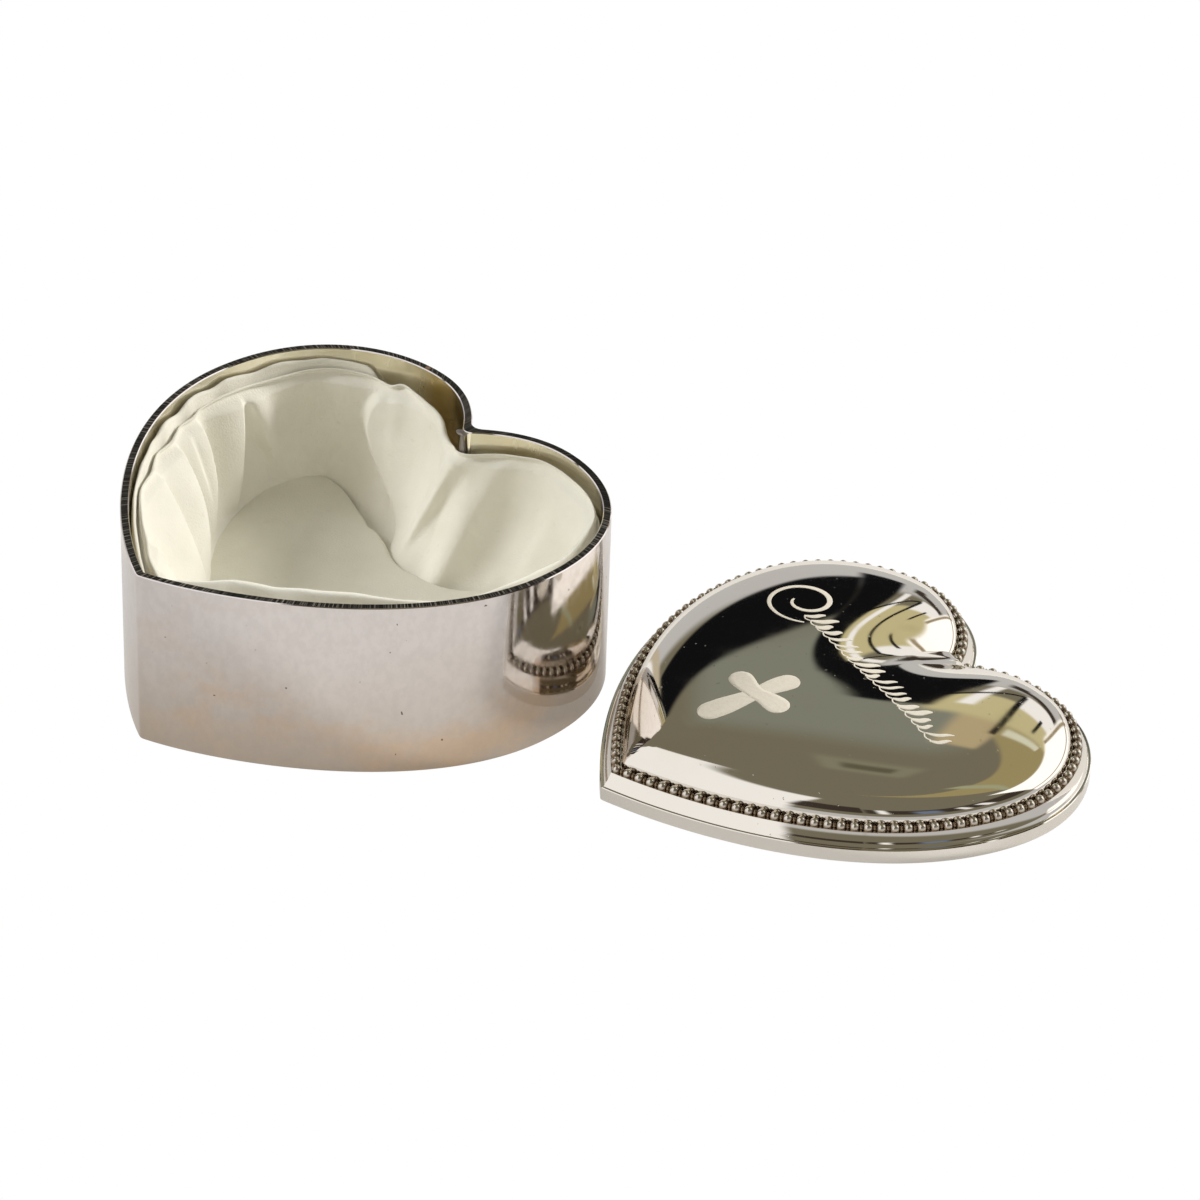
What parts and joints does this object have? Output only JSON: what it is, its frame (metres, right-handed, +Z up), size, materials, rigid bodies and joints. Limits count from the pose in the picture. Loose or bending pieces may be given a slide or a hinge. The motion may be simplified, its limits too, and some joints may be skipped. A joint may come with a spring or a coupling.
{
  "type": "keepsake box",
  "caption": "Heart-shaped silver-plated trinket box, open, lined with gathered ivory cloth, with its loose domed and beaded lid beside it.",
  "frame": {"origin": "middle of the box's underside, where the box stands on a table", "axes": "+Z up, +Y from the heart's tip to its cleft, +X across the lobes towards the lid"},
  "size_m": [0.1648, 0.1361, 0.034],
  "materials": {
    "silver_plate": "mirror-polished silver plate, warm grey, with fine hairline scratches and a few pits",
    "lining_cloth": "soft ivory velvet, matt, gathered into folds"
  },
  "bodies": {
    "root": {"box_shell": "silver_plate", "lining_wall": "lining_cloth", "lining_pad": "lining_cloth", "lid": "silver_plate"}
  },
  "joints": []
}
